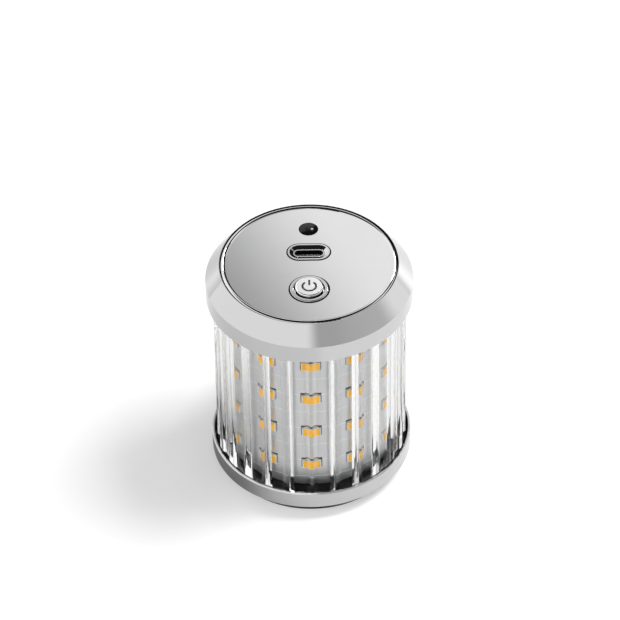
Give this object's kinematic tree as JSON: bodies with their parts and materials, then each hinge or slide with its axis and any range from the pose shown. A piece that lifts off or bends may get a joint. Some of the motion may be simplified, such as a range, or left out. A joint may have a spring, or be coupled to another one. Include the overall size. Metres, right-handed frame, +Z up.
{
  "type": "rechargeable led lamp",
  "caption": "Short round cordless LED lamp: ribbed clear tube over a silver LED core between chromed ends, with a power button, USB-C charging socket and infrared window on top.",
  "frame": {"origin": "middle of the foot's underside, on the surface that the lamp stands on", "axes": "+Z up along the lamp's axis, -Y towards the button's side"},
  "size_m": [0.06, 0.06, 0.0755],
  "materials": {
    "chrome_cap": "bright chrome plating on moulded plastic",
    "chrome_ring": "bright chrome plating on moulded plastic",
    "polished_plate": "polished plating",
    "bezel_chrome": "polished plating",
    "button_chrome": "satin plating with a dark power sign",
    "dark_window": "infrared-pass plastic, polished",
    "socket_steel": "drawn steel",
    "socket_black": "moulded",
    "clear_polycarbonate": "clear extruded polycarbonate, polished",
    "foot_rubber": "moulded, matt",
    "gasket_rubber": "moulded, matt",
    "holder_black": "moulded",
    "reflector_silver": "satin silver film",
    "led_board_dark": "dark solder mask",
    "led_white": "moulded",
    "led_phosphor": "cast silicone with yellow phosphor",
    "core_aluminium": "drawn tube",
    "board_green": "green solder mask",
    "chip_black": "moulded",
    "ferrite_grey": "sintered",
    "cell_wrap": "shrunk film",
    "nickel": "rolled strip",
    "screw_steel": "zinc plated",
    "lead_red": "insulated wire",
    "lead_black": "insulated wire"
  },
  "bodies": {
    "housing": {"foot": "foot_rubber", "base_ring": "chrome_ring", "base_screws": "screw_steel", "lower_gasket": "gasket_rubber", "cell_holder_lower": "holder_black", "cell_strap_lower": "nickel", "cell_strap_upper": "nickel", "cell_holder_upper": "holder_black", "core_tube": "core_aluminium", "led_board": "led_board_dark", "led_packages": "led_white", "led_phosphors": "led_phosphor", "reflector_sleeve": "reflector_silver", "clear_tube": "clear_polycarbonate", "upper_gasket": "gasket_rubber", "top_cap": "chrome_cap", "cap_screws": "screw_steel", "control_plate": "polished_plate", "ir_window": "dark_window", "usb_bezel": "bezel_chrome", "usb_shell": "socket_steel", "usb_tongue": "socket_black", "button_bezel": "bezel_chrome", "switch_body": "chip_black", "control_board": "board_green", "board_screws": "screw_steel", "ir_receiver": "chip_black", "charge_chip": "chip_black", "control_chip": "chip_black", "power_inductor": "ferrite_grey", "battery_lead_plus": "lead_red", "battery_lead_minus": "lead_black", "led_lead_plus": "lead_red", "led_lead_minus": "lead_black", "battery_cell_1": "cell_wrap", "battery_cell_2": "cell_wrap", "battery_cell_3": "cell_wrap"},
    "button": {"power_button": "button_chrome", "switch_plunger": "socket_black"}
  },
  "joints": [
    {"name": "button_press", "type": "slide", "parent": "housing", "child": "button", "axis": [0, 0, -1], "range_m": [0, 0.0005], "stiffness_N_per_m": 4000}
  ]
}
